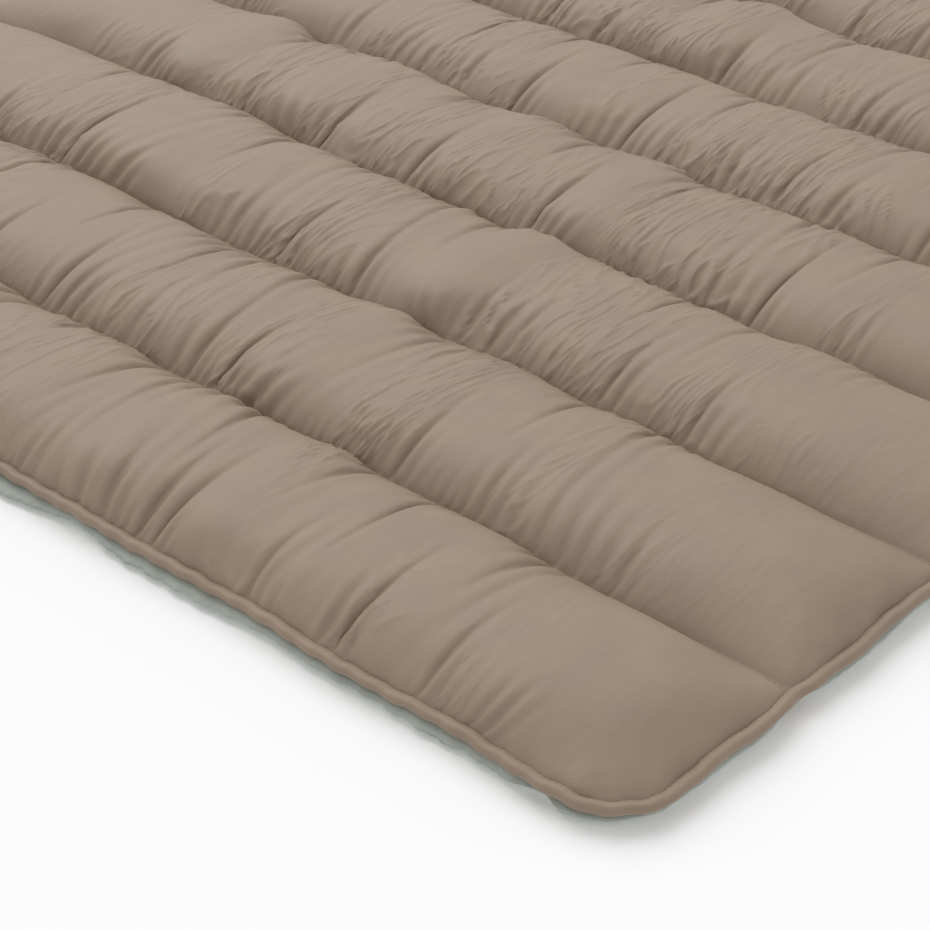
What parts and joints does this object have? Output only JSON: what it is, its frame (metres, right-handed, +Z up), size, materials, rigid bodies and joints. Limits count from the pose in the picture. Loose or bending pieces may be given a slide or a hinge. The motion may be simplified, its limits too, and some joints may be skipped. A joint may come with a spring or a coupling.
{
  "type": "camp quilt",
  "caption": "Insulated rectangular camp quilt with straight sewn-through channels, rounded corners and a bound edge, lying flat; it bends at its quilting seams.",
  "frame": {"origin": "centre of the quilt's outline, on the surface that the lining rests on", "axes": "+X along the channels, +Y across them along the quilt's long side, +Z up"},
  "size_m": [1.4, 1.9, 0.05],
  "materials": {
    "shell_taffeta": "smooth taupe taffeta, soft sheen",
    "lining_taffeta": "pale sage taffeta, soft sheen",
    "insulation_batting": "white lofted fibre",
    "edge_binding": "folded taupe tape, stitched",
    "quilting_thread": "matt brown polyester thread"
  },
  "bodies": {
    "channel_01": {"shell_panel_01": "shell_taffeta", "lining_panel_01": "lining_taffeta", "insulation_01": "insulation_batting", "binding_near_end": "edge_binding"},
    "channel_02": {"shell_panel_02": "shell_taffeta", "lining_panel_02": "lining_taffeta", "insulation_02": "insulation_batting", "binding_left_02": "edge_binding", "binding_right_02": "edge_binding", "quilting_thread_01": "quilting_thread"},
    "channel_03": {"shell_panel_03": "shell_taffeta", "lining_panel_03": "lining_taffeta", "insulation_03": "insulation_batting", "binding_left_03": "edge_binding", "binding_right_03": "edge_binding", "quilting_thread_02": "quilting_thread"},
    "channel_04": {"shell_panel_04": "shell_taffeta", "lining_panel_04": "lining_taffeta", "insulation_04": "insulation_batting", "binding_left_04": "edge_binding", "binding_right_04": "edge_binding", "quilting_thread_03": "quilting_thread"},
    "channel_05": {"shell_panel_05": "shell_taffeta", "lining_panel_05": "lining_taffeta", "insulation_05": "insulation_batting", "binding_left_05": "edge_binding", "binding_right_05": "edge_binding", "quilting_thread_04": "quilting_thread", "quilting_thread_05": "quilting_thread"},
    "channel_06": {"shell_panel_06": "shell_taffeta", "lining_panel_06": "lining_taffeta", "insulation_06": "insulation_batting", "binding_left_06": "edge_binding", "binding_right_06": "edge_binding", "quilting_thread_06": "quilting_thread"},
    "channel_07": {"shell_panel_07": "shell_taffeta", "lining_panel_07": "lining_taffeta", "insulation_07": "insulation_batting", "binding_left_07": "edge_binding", "binding_right_07": "edge_binding", "quilting_thread_07": "quilting_thread"},
    "channel_08": {"shell_panel_08": "shell_taffeta", "lining_panel_08": "lining_taffeta", "insulation_08": "insulation_batting", "binding_left_08": "edge_binding", "binding_right_08": "edge_binding", "quilting_thread_08": "quilting_thread"},
    "channel_09": {"shell_panel_09": "shell_taffeta", "lining_panel_09": "lining_taffeta", "insulation_09": "insulation_batting", "binding_left_09": "edge_binding", "binding_right_09": "edge_binding", "quilting_thread_09": "quilting_thread"},
    "channel_10": {"shell_panel_10": "shell_taffeta", "lining_panel_10": "lining_taffeta", "insulation_10": "insulation_batting", "binding_far_end": "edge_binding"}
  },
  "joints": [
    {"name": "seam_01_fold", "type": "hinge", "parent": "channel_02", "child": "channel_01", "pos_m": [0, -0.76, 0.014], "axis": [-1, 0, 0], "range_deg": [-30, 30]},
    {"name": "seam_02_fold", "type": "hinge", "parent": "channel_03", "child": "channel_02", "pos_m": [0, -0.57, 0.014], "axis": [-1, 0, 0], "range_deg": [-30, 30]},
    {"name": "seam_03_fold", "type": "hinge", "parent": "channel_04", "child": "channel_03", "pos_m": [0, -0.38, 0.014], "axis": [-1, 0, 0], "range_deg": [-30, 30]},
    {"name": "seam_04_fold", "type": "hinge", "parent": "channel_05", "child": "channel_04", "pos_m": [0, -0.19, 0.014], "axis": [-1, 0, 0], "range_deg": [-30, 30]},
    {"name": "seam_05_fold", "type": "hinge", "parent": "channel_05", "child": "channel_06", "pos_m": [0, 0, 0.014], "axis": [1, 0, 0], "range_deg": [-30, 30]},
    {"name": "seam_06_fold", "type": "hinge", "parent": "channel_06", "child": "channel_07", "pos_m": [0, 0.19, 0.014], "axis": [1, 0, 0], "range_deg": [-30, 30]},
    {"name": "seam_07_fold", "type": "hinge", "parent": "channel_07", "child": "channel_08", "pos_m": [0, 0.38, 0.014], "axis": [1, 0, 0], "range_deg": [-30, 30]},
    {"name": "seam_08_fold", "type": "hinge", "parent": "channel_08", "child": "channel_09", "pos_m": [0, 0.57, 0.014], "axis": [1, 0, 0], "range_deg": [-30, 30]},
    {"name": "seam_09_fold", "type": "hinge", "parent": "channel_09", "child": "channel_10", "pos_m": [0, 0.76, 0.014], "axis": [1, 0, 0], "range_deg": [-30, 30]}
  ]
}
